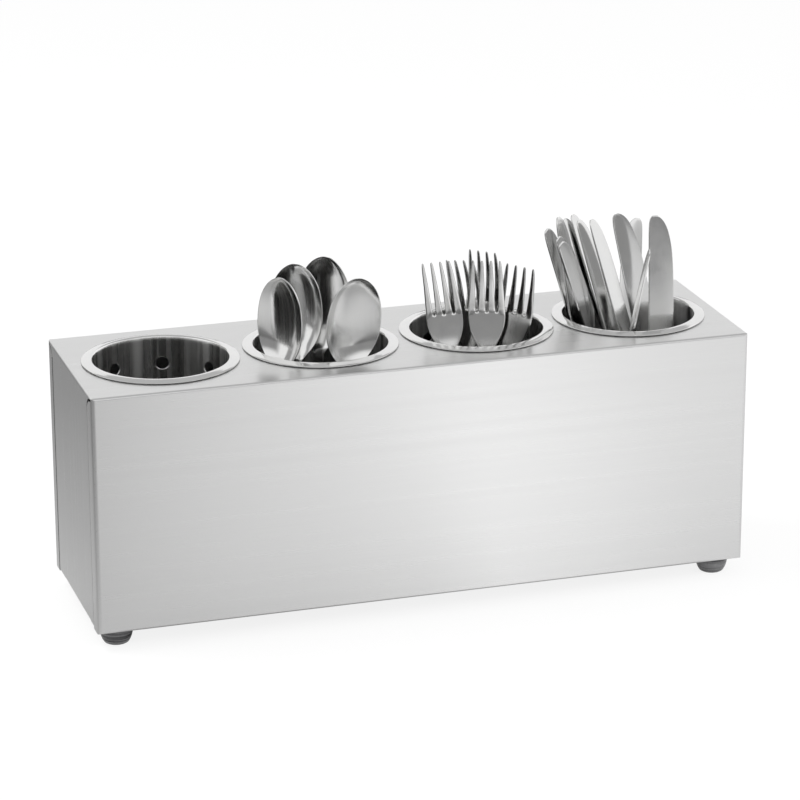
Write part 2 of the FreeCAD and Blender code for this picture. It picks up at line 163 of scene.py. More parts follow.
def noise_along(tree, scale, detail=3.0, roughness=0.55, offset=0.0):
    """Noise in object space, squeezed by a scale for each axis, so that it can be a streak."""
    place = tree.nodes.new("ShaderNodeTexCoord")
    squeeze = tree.nodes.new("ShaderNodeMapping")
    squeeze.inputs["Scale"].default_value = scale
    squeeze.inputs["Location"].default_value = (offset, offset, offset)
    noise = tree.nodes.new("ShaderNodeTexNoise")
    noise.inputs["Scale"].default_value = 1.0
    noise.inputs["Detail"].default_value = detail
    noise.inputs["Roughness"].default_value = roughness
    tree.links.new(place.outputs["Object"], squeeze.inputs["Vector"])
    tree.links.new(squeeze.outputs["Vector"], noise.inputs["Vector"])
    return noise.outputs["Fac"]


# %% From a value to the surface
noise_low, noise_high = 0.3, 0.7  # nearly all of a noise lies between these


def calculated(tree, operation, *values):
    """A Math node; each value is another node's output or a plain number."""
    node = tree.nodes.new("ShaderNodeMath")
    node.operation = operation
    for socket, value in zip(node.inputs, values):
        if isinstance(value, (int, float)):
            socket.default_value = value
        else:
            tree.links.new(value, socket)
    return node.outputs["Value"]


def spread(tree, value, low, high, from_low=noise_low, from_high=noise_high):
    """Stretch a value between two numbers."""
    node = tree.nodes.new("ShaderNodeMapRange")
    node.inputs["From Min"].default_value = from_low
    node.inputs["From Max"].default_value = from_high
    node.inputs["To Min"].default_value = low
    node.inputs["To Max"].default_value = high
    tree.links.new(value, node.inputs["Value"])
    return node.outputs["Result"]


def tinted(tree, value, dark, light):
    """A colour between two tints."""
    ramp = tree.nodes.new("ShaderNodeValToRGB")
    ends = (noise_low, dark), (noise_high, light)
    for element, (position, tint) in zip(ramp.color_ramp.elements, ends):
        element.position = position
        element.color = (*tint, 1)
    tree.links.new(value, ramp.inputs["Fac"])
    return ramp.outputs["Color"]


def bumped(tree, shader, value, depth, strength):
    """Let a value raise the surface by a depth in metres, for the light only."""
    bump = tree.nodes.new("ShaderNodeBump")
    bump.inputs["Strength"].default_value = strength
    bump.inputs["Distance"].default_value = depth
    tree.links.new(value, bump.inputs["Height"])
    tree.links.new(bump.outputs["Normal"], shader.inputs["Normal"])


# %% [markdown]
# ## Brushed sheet
# The housing is satin stainless sheet: a belt has drawn fine lines along its length. Lines that
# fine can't be geometry. A stretched noise gives the grain to roughness and colour and a very
# shallow bump, and anisotropy smears reflections across the grain. The end panels are dressed
# in a second finish, because their grain runs upright, and its base grey is set a little darker, a
# painted shade on the same steel.


# %% Finish of the sheet
grain_across = 2600.0  # scale of the noise across the grain: lines of about 0.4 mm
grain_along = 14.0  # and along it: lines of about 70 mm
wide_share = 0.06  # scale of the slow unevenness, as a share of the grain's
grain_roughness = (0.27, 0.33)
wide_roughness = (-0.02, 0.02)  # what the slow unevenness adds to it
grain_depth = 0.01 * MM
grain_strength = 0.18


def brushed_sheet(name, scale, axis, base):
    """Satin sheet with its grain along the axis whose scale is small."""
    finish, tree, shader = new_finish(name, Metallic=1.0, Anisotropic=0.55)
    fine = noise_along(tree, scale, detail=4.0, roughness=0.7)
    wide = noise_along(tree, tuple(v * wide_share for v in scale), detail=2.0, offset=3.1)
    tint = tinted(tree, fine, (base - 0.016,) * 3, (base + 0.014, base + 0.014, base + 0.010))
    tree.links.new(tint, shader.inputs["Base Color"])
    grain_rough = spread(tree, fine, *grain_roughness)
    rough = calculated(tree, "ADD", grain_rough, spread(tree, wide, *wide_roughness))
    tree.links.new(rough, shader.inputs["Roughness"])
    bumped(tree, shader, fine, grain_depth, grain_strength)
    tangent = tree.nodes.new("ShaderNodeTangent")
    tangent.direction_type = "RADIAL"
    tangent.axis = axis
    tree.links.new(tangent.outputs["Tangent"], shader.inputs["Tangent"])
    return finish


sheet_long = brushed_sheet(
    "satin_sheet_lengthwise", (grain_along, grain_across, grain_across), "X", 0.84
)
# the ends' lower base grey, 0.72 against 0.84, is painted shade
sheet_end = brushed_sheet(
    "satin_sheet_upright_shaded", (grain_across, grain_across, grain_along), "Z", 0.72
)
print("finishes:", sheet_long.name, sheet_end.name)

# %% [markdown]
# ## Polished steel
# Brims and cutlery are polished, so nearly all of their look is what they mirror. Perfect mirrors
# look like computer graphics: a little uneven roughness and hardly visible fine lines bring them
# back to metal. The wall of a cup is duller: the press has drawn upright bands on it, and each
# band has its own grey and its own roughness. The lighter greys are partly a painted reflection:
# the bands are slid so that a light band falls on the far wall of the bore.


# %% Finishes of polished steel
def drawn_steel(name):
    """The wall of a deep-drawn cup: upright bands that the press has left, the lighter ones partly
    a painted reflection.
    """
    finish, tree, shader = new_finish(name, Metallic=1.0)
    # the offset slides the bands so that a lighter one falls on the far wall of the bore, a
    # painted reflection
    bands = noise_along(tree, (75.0, 75.0, 1.5), detail=3.0, roughness=0.6, offset=1.4)
    lines = noise_along(tree, (420.0, 420.0, 6.0), detail=2.0, offset=2.3)
    tint = tinted(tree, bands, (0.42, 0.42, 0.42), (0.90, 0.90, 0.89))
    tree.links.new(tint, shader.inputs["Base Color"])
    tree.links.new(spread(tree, bands, 0.12, 0.42, 0.35, 0.65), shader.inputs["Roughness"])
    bumped(tree, shader, lines, 0.02 * MM, 0.4)
    return finish


def polished_steel(name, base, rough_low, rough_high, streaks, wave):
    """Steel with uneven polish; streaks is the scale of its fine lines, wave their depth."""
    finish, tree, shader = new_finish(name, Metallic=1.0)
    lines = noise_along(tree, streaks, detail=3.0, roughness=0.6)
    cloud = noise_along(tree, (60.0, 60.0, 60.0), detail=2.0, offset=1.7)
    tint = tinted(tree, cloud, (base - 0.02,) * 3, (base + 0.02, base + 0.02, base + 0.01))
    tree.links.new(tint, shader.inputs["Base Color"])
    cloud_rough = spread(tree, cloud, rough_low, rough_high)
    rough = calculated(tree, "ADD", cloud_rough, spread(tree, lines, -0.015, 0.015))
    tree.links.new(rough, shader.inputs["Roughness"])
    bumped(tree, shader, lines, wave, 0.5)
    return finish


cup_steel = polished_steel(
    "polished_cup_steel", 0.86, 0.07, 0.13, (900.0, 900.0, 20.0), 0.006 * MM
)
bore_steel = drawn_steel("drawn_cup_wall_steel")
cutlery_steel = polished_steel(
    "polished_cutlery_steel", 0.78, 0.11, 0.16, (700.0, 700.0, 60.0), 0.004 * MM
)
fastener_steel = polished_steel(
    "plain_fastener_steel", 0.55, 0.28, 0.4, (500.0, 500.0, 500.0), 0.01 * MM
)
for finish in (cup_steel, bore_steel, cutlery_steel, fastener_steel):
    print("finish:", finish.name)

# %% [markdown]
# ## Rubber and the painted shadow of a seam
# The feet are moulded rubber, dark and glossy, with faint level rings. One noise, squeezed flat,
# draws the rings in roughness, and in colour as lighter grey bands that are a painted highlight; a
# fine bump gives the skin of the mould. The second finish is the painted shadow of the joints of
# the housing: dark steel where the light hardly reaches.

# %% Finish of the rubber
foot_rubber, tree, shader = new_finish("moulded_rubber", Metallic=0.0)
skin = noise_along(tree, (1500.0, 1500.0, 1500.0), detail=3.0)
rings = noise_along(tree, (14.0, 14.0, 420.0), detail=2.0, offset=4.2)
# painted highlight: lighter grey rings stand for the glossy bands that the feet reflect
ring_highlight_paint = tinted(tree, rings, (0.015, 0.015, 0.017), (0.30, 0.30, 0.305))
tree.links.new(ring_highlight_paint, shader.inputs["Base Color"])
tree.links.new(spread(tree, rings, 0.12, 0.26), shader.inputs["Roughness"])
bumped(tree, shader, skin, 0.02 * MM, 0.5)
print("finish:", foot_rubber.name)

# %% Finish of a seam's painted shadow
seam_shadow_paint, tree, shader = new_finish("painted_seam_shadow", Metallic=0.6)
shadow_noise = noise_along(tree, (300.0, 300.0, 40.0), detail=3.0)
# painted shadow: near-black greys that stand for the shade in the seam's step
shadow_tint = tinted(tree, shadow_noise, (0.02, 0.02, 0.02), (0.07, 0.07, 0.07))
tree.links.new(shadow_tint, shader.inputs["Base Color"])
tree.links.new(spread(tree, shadow_noise, 0.4, 0.6), shader.inputs["Roughness"])
print("finish:", seam_shadow_paint.name)

# %% [markdown]
# ## The housing keeps its solid
# The folded housing has the right shape already, so its mesh stays and only gets the two
# finishes. A face near an end whose normal points along X belongs to the end panel, and every
# other face to the long sheet. The studs and nuts keep their solids too.

# %% Dress the housing
hood = nodes["hood"]
hood.data.materials.clear()
hood.data.materials.append(sheet_long)
hood.data.materials.append(sheet_end)
end_reach = 4.2 * MM  # sheet and bend of an end lie within this distance of its outside
facing_end = 0.7  # a normal with more than this along X faces the end
for polygon in hood.data.polygons:
    near_end = abs(polygon.center.x) > hood_high.x - end_reach
    at_end = near_end and abs(polygon.normal.x) > facing_end
    polygon.material_index = 1 if at_end else 0
end_count = sum(polygon.material_index for polygon in hood.data.polygons)
print("end faces:", end_count, "of", len(hood.data.polygons))
for name in ("foot_studs", "foot_nuts"):
    nodes[name].data.materials.clear()
    nodes[name].data.materials.append(fastener_steel)

# %% [markdown]
# ## Spot welds
# Each end panel is spot-welded to the laps behind it. A weld shows as a shallow round mark about
# 3.4 mm wide. It could be a bump in the finish, but a bump has no outline, so each mark is a very
# flat lens of real mesh that stands less than 0.05 mm proud of the sheet.

# %% Spot welds
weld_radius = 1.7 * MM
weld_rise = 0.08 * MM
weld_sunk = 0.4  # share of the rise that lies in the sheet
weld_profile = ((1.0, 0.02), (0.75, 0.6), (0.4, 0.95))  # shares of the radius and of the rise
weld_points = 20
weld_inset = 19.0 * MM  # from the front or back to the middle of the marks
weld_heights = (34.0 * MM, 98.0 * MM, 163.0 * MM)


def weld_marks(bm, sign):
    """Flat lenses on one end, two columns of three."""
    face_x = sign * hood_high.x
    turn = 2 * math.pi / weld_points
    for y in (hood_low.y + weld_inset, hood_high.y - weld_inset):
        for z in weld_heights:
            rings = []
            for share, rise in weld_profile:
                radius = share * weld_radius
                rings.append([
                    bm.verts.new((
                        face_x + sign * weld_rise * (rise - weld_sunk),
                        y + radius * math.cos(k * turn),
                        z + radius * math.sin(k * turn),
                    ))
                    for k in range(weld_points)
                ])
            for outer, inner in zip(rings, rings[1:]):
                quads_between(bm, outer, inner, True)
            bm.faces.new(rings[-1])


bm = bmesh.new()
weld_marks(bm, -1)
weld_marks(bm, 1)
object_from("spot_welds", bm, "housing", sheet_end)
print("weld marks:", 2 * 2 * len(weld_heights))  # two ends, two columns

# %% [markdown]
# ## The seams at the back
# The sheet of the back is wrapped round onto each end and stops at an open joint, half a
# millimetre wide, that is in the solid. So narrow a joint hardly shows from some metres away,
# though the shadow of its step makes it read as one dark upright line. A strip of dark metal over
# the joint, 0.05 mm proud and closed on all sides, paints that shadow and leaves the solid whole.

# %% Back seams
seam_width = 2.0 * MM
wrap_width = 13.5 * MM  # how far the back's sheet comes round onto an end
joint_width = 0.5 * MM
seam_inset = wrap_width + joint_width / 2  # from the back to the middle of the line
seam_bottom = hood_low.z + 1.0 * MM
seam_top = hood_high.z - 9.5 * MM  # just below the curved relief of the corner
seam_proud = 0.05 * MM


def seam_strip(bm, sign):
    """A thin closed bar on one end, from its lower edge to below the bend of the top."""
    middle = Vector((sign * hood_high.x, hood_high.y - seam_inset, (seam_bottom + seam_top) / 2))
    size = Matrix.Diagonal((2 * seam_proud, seam_width, seam_top - seam_bottom, 1))
    bmesh.ops.create_cube(bm, size=1.0, matrix=Matrix.Translation(middle) @ size)


bm = bmesh.new()
seam_strip(bm, -1)
seam_strip(bm, 1)
# the strip is a painted shadow of the joint's step
object_from("back_seam_shadows", bm, "housing", seam_shadow_paint, smooth=False)
print("seams run from", round(seam_bottom / MM), "to", round(seam_top / MM), "mm")

# %% [markdown]
# ## A perforated cup
# A real cup is deep-drawn from one disc of sheet: floor, wall, and a brim that is pressed
# outwards and ends on the housing. The mesh follows that: one skin without thickness is made
# first, and a Solidify modifier gives it the sheet's 0.7 mm. The wall is built as eight panels,
# each with a round hole in the middle, because a hole whose points belong to the wall keeps a
# clean rim, where a Boolean would leave slivers. Brim and wall take different finishes.

# %% Sizes of the cup's skin
cup_segments = 96
hole_count = 8
hole_radius = 4.75 * MM
hole_turn = math.radians(30.6)
hole_z = top_z - 18.5 * MM
panel_half_height = 9.0 * MM
panel_steps = cup_segments // hole_count
panel_rise_steps = 6
rows_to_hole = (0.0, 0.35, 0.7, 0.88, 1.0)  # shares of the way from a panel's edge to its hole
merge_distance = 0.02 * MM
print("cup:", hole_count, "holes of radius", round(hole_radius / MM, 2), "mm")
print("their height in mm:", round(hole_z / MM, 1))


# %% One panel of the wall
def hole_panel(bm, middle):
    """A panel of the wall about one hole: its boundary points are joined to the round hole."""
    half_turn = math.pi / hole_count
    border = []
    for k in range(panel_steps):
        border.append((-half_turn + 2 * half_turn * k / panel_steps, -1.0))
    for k in range(panel_rise_steps):
        border.append((half_turn, -1.0 + 2.0 * k / panel_rise_steps))
    for k in range(panel_steps):
        border.append((half_turn - 2 * half_turn * k / panel_steps, 1.0))
    for k in range(panel_rise_steps):
        border.append((-half_turn, 1.0 - 2.0 * k / panel_rise_steps))
    rows = []
    for share in rows_to_hole:
        row = []
        for turn, rise in border:
            flat = Vector((turn * bore_radius, rise * panel_half_height))
            hole = flat.normalized() * hole_radius
            point = flat.lerp(hole, share)
            angle = middle + point.x / bore_radius
            row.append(bm.verts.new((
                bore_radius * math.cos(angle), bore_radius * math.sin(angle), hole_z + point.y
            )))
        rows.append(row)
    for outer, inner in zip(rows, rows[1:]):
        quads_between(bm, outer, inner, True)


# %% Rings of the skin
def ring_of(bm, radius, z, segments, start=0.0):
    """A ring of points about the Z axis; start is the angle of the first, from +X."""
    turn = 2 * math.pi / segments
    return [
        bm.verts.new((
            radius * math.cos(start + k * turn), radius * math.sin(start + k * turn), z
        ))
        for k in range(segments)
    ]


def ring_at(bm, radius, z):
    """A ring whose points line up with the panels of the wall."""
    return ring_of(bm, radius, z, cup_segments, hole_turn - math.pi / hole_count)


# %% The whole skin
brim_profile = [  # radius and height above the housing in mm, from the outer edge inwards
    (56.75, 0.62), (56.72, 0.95), (56.45, 1.15), (55.2, 1.45), (53.6, 1.86), (52.0, 2.26),
    (50.9, 2.45), (50.0, 2.38), (49.3, 2.02), (48.85, 1.35), (48.6, 0.4), (48.5, -0.9),
    (48.5, -3.0),
]
floor_profile = [  # radius and height above the counter in mm, down the wall to the drain
    (48.5, 120.0), (48.5, 80.0), (48.5, 60.0), (48.5, 58.2), (48.3, 57.2), (47.7, 56.3),
    (46.8, 55.85), (45.6, 55.7), (30.0, 55.7), (12.0, 55.7), (6.2, 55.7), (5.0, 55.7),
]


def cup_skin():
    """The inner skin of a cup, about the Z axis."""
    bm = bmesh.new()
    upper = [ring_at(bm, r * MM, top_z + z * MM) for r, z in brim_profile]
    upper.append(ring_at(bm, bore_radius, hole_z + panel_half_height))
    lower = [ring_at(bm, bore_radius, hole_z - panel_half_height)]
    lower += [ring_at(bm, r * MM, z * MM) for r, z in floor_profile]
    for rings in (upper, lower):
        for a, b in zip(rings, rings[1:]):
            quads_between(bm, a, b, True)
    for k in range(hole_count):
        hole_panel(bm, hole_turn + k * 2 * math.pi / hole_count)
    bmesh.ops.remove_doubles(bm, verts=bm.verts, dist=merge_distance)
    return bm


print("rings above and below the holes:", len(brim_profile) + 1, "and", len(floor_profile) + 1)

# %% Four cups
brim_start = 1.0 * MM  # the polished finish starts this far above the housing's top
for i in cup_x:
    bm = cup_skin()
    bmesh.ops.translate(bm, verts=bm.verts, vec=(cup_x[i], 0, 0))
    cup = object_from(f"drawn_cup_{i}", bm, f"cup_{i}", cup_steel)
    inward = cup.data.polygons[0].normal.dot(Vector((0, 0, 1))) > 0
    cup.data.materials.append(bore_steel)
    for polygon in cup.data.polygons:
        if polygon.center.z < top_z + brim_start:
            polygon.material_index = 1
    wall = cup.modifiers.new("sheet_thickness", "SOLIDIFY")
    wall.thickness = cup_wall
    wall.offset = -1.0 if inward else 1.0
    wall.use_even_offset = True
    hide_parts(f"cup_{i}")
    print(cup.name, "skin faces:", len(cup.data.polygons))

# %% [markdown]
# ## The feet
# A foot is moulded: a flange that the housing rests on, a groove, and a bowl-shaped body down to
# a flat sole. It is a turned shape, so a profile is swept round its axis. A Screw modifier could
# sweep it too, but rings of points can be closed at the sole and below the stud. The small beads
# of the profile are what catch the light as thin rings.

# %% Feet
foot_profile = [  # radius and height in mm, from the sole up and down again beside the stud
    (7.0, 0.0), (8.0, 0.14), (8.8, 0.6), (9.5, 1.5), (10.3, 3.0), (11.0, 4.8),
    (11.5, 6.6), (11.7, 8.0), (11.6, 8.8), (11.6, 9.2), (11.9, 9.35), (12.3, 9.5),
    (12.48, 9.85), (12.5, 10.4), (12.5, 11.6), (12.46, 12.3), (12.25, 12.75), (11.95, 12.9),
    (11.95, 13.1), (12.2, 13.25), (12.2, 13.45), (12.0, 13.5), (2.5, 13.5), (2.5, 5.5),
]
foot_segments = 72
foot_x, foot_y = 228.0 * MM, 53.5 * MM  # from the middle of the housing
foot_places = [(sx * foot_x, sy * foot_y) for sx in (-1, 1) for sy in (-1, 1)]


def turned_foot(x, y):
    """One foot as a turned mesh, closed round the stud."""
    bm = bmesh.new()
    rings = [ring_of(bm, r * MM, z * MM, foot_segments) for r, z in foot_profile]
    for a, b in zip(rings, rings[1:]):
        quads_between(bm, a, b, True)
    bm.faces.new(rings[0])
    bm.faces.new(rings[-1])
    bmesh.ops.translate(bm, verts=bm.verts, vec=(x, y, 0))
    return bm


for number, (x, y) in enumerate(foot_places, 1):
    foot = object_from(
        f"rubber_foot_{number}", turned_foot(x, y), "housing", foot_rubber
    )
    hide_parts("feet")
print("feet at mm:", [(round(x / MM), round(y / MM)) for x, y in foot_places])

# %% [markdown]
# ## Cutlery as pressed strips
# Spoons and forks are stamped from strip and then pressed, so each is modelled as a grid of
# points on its middle surface, with a thickness at every point. The front and the back are that
# grid moved by half the thickness, and the open edges are joined. A row of the grid runs across
# the piece, so its width, bend and dish are all read from a short list of stations along the
# handle, with smooth values between them, and a Subdivision modifier rounds what is left.


# %% A body from a grid
def pressed_body(rows, open_cells=()):
    """A closed body from rows of (x, y, z, half thickness); open cells stay empty."""
    bm = bmesh.new()
    front, back = [], []
    for row in rows:
        front.append([bm.verts.new((x, y - t, z)) for x, y, z, t in row])
        back.append([bm.verts.new((x, y + t, z)) for x, y, z, t in row])
    twin = {}
    for front_row, back_row in zip(front, back):
        for a, b in zip(front_row, back_row):
            twin[a] = b
    sheet_faces = []
    for i in range(len(rows) - 1):
        for j in range(len(rows[i]) - 1):
            if (i, j) in open_cells:
                continue
            corners = (front[i][j], front[i][j + 1], front[i + 1][j + 1], front[i + 1][j])
            sheet_faces.append(bm.faces.new(corners))
            bm.faces.new([twin[v] for v in reversed(corners)])
    for face in sheet_faces:
        for edge in face.edges:
            if len(edge.link_faces) == 1:
                a, b = edge.verts
                bm.faces.new((a, b, twin[b], twin[a]))
    loose = [v for v in bm.verts if not v.link_faces]
    bmesh.ops.delete(bm, geom=loose, context="VERTS")
    return bm


# %% Rows along the handle
def between(stations, z):
    """Smooth values between rows of numbers that start with a height, by cubic pieces."""
    last = len(stations) - 1
    k = max(i for i in range(last) if stations[i][0] <= z or i == 0)
    a, b = stations[k], stations[k + 1]
    before, after = stations[max(k - 1, 0)], stations[min(k + 2, last)]
    span = b[0] - a[0]
    t = min(max((z - a[0]) / span, 0.0), 1.0)
    values = []
    for i in range(1, len(a)):
        slope_a = (b[i] - before[i]) / (b[0] - before[0]) * span
        slope_b = (after[i] - a[i]) / (after[0] - a[0]) * span
        values.append(
            a[i] * (2 * t**3 - 3 * t**2 + 1)
            + slope_a * (t**3 - 2 * t**2 + t)
            + b[i] * (3 * t**2 - 2 * t**3)
            + slope_b * (t**3 - t**2)
        )
    return values


def heights(marks):
    """Heights in mm from pairs of (end, step), starting at zero."""
    z, values = 0.0, [0.0]
    for end, step in marks:
        while z + step < end + 0.001:
            z += step
            values.append(z)
    return values


# %% [markdown]
# ## The spoon
# The handle has a round end, narrows to the neck, and swells into an egg-shaped bowl that leans
# back a little. Handle and bowl are one grid of 13 columns. Only in the bowl does the middle
# surface sink between its edges, which is what makes the bowl hollow.

# %% Spoon mesh
spoon_stations = [  # height, half width, bend, dish, half thickness in mm
    (0.0, 3.2, 3.5, 0.0, 0.75), (1.2, 5.6, 3.4, 0.0, 0.95), (3.5, 7.7, 3.2, 0.0, 1.05),
    (7.5, 8.9, 2.7, 0.0, 1.1), (14.0, 8.9, 1.9, 0.0, 1.1), (26.0, 8.1, 0.7, 0.0, 1.1),
    (60.0, 5.4, -1.7, 0.0, 1.15), (94.0, 3.6, -3.0, 0.0, 1.35), (107.0, 3.3, -3.4, 0.0, 1.45),
    (115.0, 3.4, -2.9, 0.1, 1.3), (119.5, 3.8, -2.2, 0.3, 1.1), (123.0, 5.0, -1.7, 0.6, 0.95),
    (127.0, 8.2, -1.2, 2.0, 0.85), (132.0, 12.6, -0.8, 4.6, 0.75), (138.0, 16.6, -0.3, 6.9, 0.7),
    (145.0, 19.4, 0.3, 8.0, 0.65), (153.0, 20.9, 0.9, 8.4, 0.65), (161.0, 21.0, 1.5, 8.3, 0.65),
    (169.0, 20.2, 2.1, 7.7, 0.65), (177.0, 18.2, 2.7, 6.6, 0.65), (183.3, 15.0, 3.2, 5.0, 0.65),
    (187.8, 11.4, 3.5, 3.4, 0.65), (190.8, 7.6, 3.7, 2.0, 0.65), (192.4, 4.4, 3.8, 1.0, 0.65),
    (193.0, 2.2, 3.9, 0.3, 0.6),
]
spoon_columns = 13
bowl_fullness = 2.3  # a higher power makes the bowl's section rounder near its rim
bowl_row = 10  # from this station on, a row is added in each gap
spoon_heights = [s[0] for s in spoon_stations]
handle_rows = heights([(107.0, 6.0)])[1:]
bowl_heights = spoon_heights[bowl_row:]
bowl_rows = [(a + b) / 2 for a, b in zip(bowl_heights, bowl_heights[1:])]
spoon_rows = sorted(set(spoon_heights + handle_rows + bowl_rows))


def spoon_body():
    """A spoon standing on its handle with the hollow of its bowl towards -Y."""
    rows = []
    for z in spoon_rows:
        half, bend, dish, thick = between(spoon_stations, z)
        row = []
        for k in range(spoon_columns):
            share = math.sin((k / (spoon_columns - 1) - 0.5) * math.pi)
            depth = dish * (1 - abs(share) ** bowl_fullness)
            row.append((share * half * MM, (bend + depth) * MM, z * MM, thick * MM))
        rows.append(row)
    return pressed_body(rows)


bm = spoon_body()
print("spoon: rows", len(spoon_rows), "faces", len(bm.faces))
bm.free()

# %% [markdown]
# ## The fork
# A fork is the same strip with slots cut into its head. Twelve columns are used, three for each
# tine. Up to the root of the slots they lie evenly across the head; above it each group of three
# follows its own tine, and the cells between the groups stay open.

# %% Sizes of the fork
fork_stations = [  # height, half width, bend, half thickness in mm
    (0.0, 3.2, 3.5, 0.75), (1.2, 5.6, 3.4, 0.95), (3.5, 7.7, 3.1, 1.05), (7.5, 8.9, 2.7, 1.1),
    (14.0, 8.9, 2.1, 1.1), (30.0, 7.8, 0.3, 1.1), (60.0, 5.5, -1.9, 1.2), (96.0, 3.5, -3.2, 1.4),
    (108.0, 3.3, -3.4, 1.4), (116.0, 3.5, -2.2, 1.3), (121.0, 4.9, -1.0, 1.15),
    (126.0, 7.7, 0.2, 1.05), (131.0, 10.4, 1.5, 0.95), (137.0, 12.5, 2.8, 0.9),
    (143.0, 13.4, 4.0, 0.9), (149.0, 13.5, 4.9, 0.9), (154.0, 13.25, 4.9, 0.9),
    (172.0, 11.95, 3.0, 0.9), (186.0, 10.95, -0.9, 0.8), (190.0, 10.1, -2.3, 0.75),
]
tine_count = 4
slot_root = 149.0
head_half_width = 13.5  # at the root of the slots
head_edge_loss = 0.35  # share of the thickness that the head loses at its sides
tine_side_share = 0.75  # thickness of a tine at its sides, as a share of its middle
tine_half = [  # height, half width in mm
    (149.0, 3.4), (149.8, 2.95), (151.2, 2.65), (153.5, 2.5), (160.0, 2.23), (167.0, 1.94),
    (174.0, 1.65), (181.0, 1.36), (186.0, 1.15), (188.5, 0.95), (189.5, 0.7), (190.0, 0.35),
]
tine_spread = [(149.0, 10.9), (190.0, 9.75)]  # height, middle of the outer tines
print("fork: tines", tine_count, "from", slot_root, "to", tine_half[-1][0], "mm")


# %% Fork mesh
def fork_body():
    """A fork standing on its handle with the hollow of its tines towards -Y."""
    low_rows = heights([(112.0, 8.0), (116.0, 4.0), (146.0, 3.0), (147.8, 1.8)])
    root_columns = []
    for k in range(tine_count):
        middle = (2 * k / (tine_count - 1) - 1) * tine_spread[0][1]
        root_columns += [middle - tine_half[0][1], middle, middle + tine_half[0][1]]
    root_shares = [-1.0] + [x / head_half_width for x in root_columns[1:-1]] + [1.0]
    rows, opened = [], set()
    for z in low_rows + [t[0] for t in tine_half]:
        half, bend, thick = between(fork_stations, z)
        row = []
        if z < slot_root:
            for share in root_shares:
                edge = 1.0 - head_edge_loss * abs(share) ** 4
                row.append((share * half * MM, bend * MM, z * MM, thick * edge * MM))
        else:
            width, spread_here = between(tine_half, z)[0], between(tine_spread, z)[0]
            for k in range(tine_count):
                middle = (2 * k / (tine_count - 1) - 1) * spread_here
                left = -half if k == 0 else middle - width
                right = half if k == tine_count - 1 else middle + width
                side = tine_side_share
                for x, edge in ((left, side), ((left + right) / 2, 1.0), (right, side)):
                    row.append((x * MM, bend * MM, z * MM, thick * edge * MM))
        rows.append(row)
    for i in range(len(low_rows), len(rows)):
        opened |= {(i, 3 * k + 2) for k in range(tine_count - 1)}
    return pressed_body(rows, opened)


bm = fork_body()
print("fork: faces", len(bm.faces))
bm.free()

# %% [markdown]
# ## The knife
# A table knife is forged in one piece: a full, slightly crowned handle that is broadest at its
# end, and a flat blade with a straight back, a heel, and a cutting edge that curves up to a round
# point. Back and cutting edge are separate numbers of each station here, and the thickness falls
# off towards the cutting edge.

# %% Knife mesh
knife_stations = [  # height, back edge, cutting edge, half thickness in mm
    (0.0, -3.4, 3.4, 1.2), (0.8, -5.4, 5.4, 1.9), (2.5, -7.6, 7.6, 2.6), (5.5, -9.0, 9.0, 2.95),
    (10.0, -9.45, 9.45, 3.0), (20.0, -9.0, 9.0, 2.9), (60.0, -7.7, 7.7, 2.4),
    (92.0, -6.7, 6.6, 1.9), (97.0, -6.9, 6.3, 1.5), (99.5, -7.4, 6.9, 1.0),
    (101.5, -8.0, 8.6, 0.85), (104.0, -8.7, 9.6, 0.8), (109.0, -9.6, 9.75, 0.8),
    (125.0, -9.75, 9.75, 0.8), (150.0, -9.75, 9.75, 0.8), (168.0, -9.75, 9.6, 0.8),
    (180.0, -9.75, 9.0, 0.75), (190.0, -9.75, 7.9, 0.7), (198.0, -9.75, 6.3, 0.65),
    (204.0, -9.6, 4.2, 0.6), (208.0, -9.2, 1.8, 0.55), (210.6, -8.3, -0.8, 0.5),
    (211.9, -6.9, -3.1, 0.45),
]
knife_columns = 11
knife_extra_rows = [28.0, 36.0, 44.0, 52.0, 68.0, 76.0, 84.0, 115.0, 137.0, 160.0, 174.0, 185.0]
knife_rows = sorted(set([s[0] for s in knife_stations] + knife_extra_rows))
blade_start = 99.0
handle_fullness = 2.6  # a higher power makes the handle's section squarer
edge_loss = 0.55  # share of the thickness that the blade loses towards its cutting edge
least_crown = 0.12  # the rim keeps this share, so that front and back never meet


def knife_body():
    """A knife standing on its handle, its blade upwards and its cutting edge towards +X."""
    rows = []
    for z in knife_rows:
        back, edge, thick = between(knife_stations, z)
        row = []
        for k in range(knife_columns):
            share = math.sin((k / (knife_columns - 1) - 0.5) * math.pi)
            x = (back + edge) / 2 + share * (edge - back) / 2
            if z < blade_start:
                crown = (1 - abs(share) ** handle_fullness) ** 0.5
            else:
                crown = 1.0 - edge_loss * max(share, 0.0) ** 2
            row.append((x * MM, 0.0, z * MM, thick * max(crown, least_crown) * MM))
        rows.append(row)
    return pressed_body(rows)


bm = knife_body()
print("knife: faces", len(bm.faces))
bm.free()

# %% [markdown]
# ## Standing the cutlery in its cups
# A piece leans from a point on the floor of its cup to a point at the brim. Each row below gives
# the foot, the crossing at the brim, and the turn about its own length; a point is a share of
# the usable radius and an angle from +X. The lowest point then goes to the foot of the solid that
# it stands for, so that nothing floats. A Subdivision modifier rounds every piece at the end.

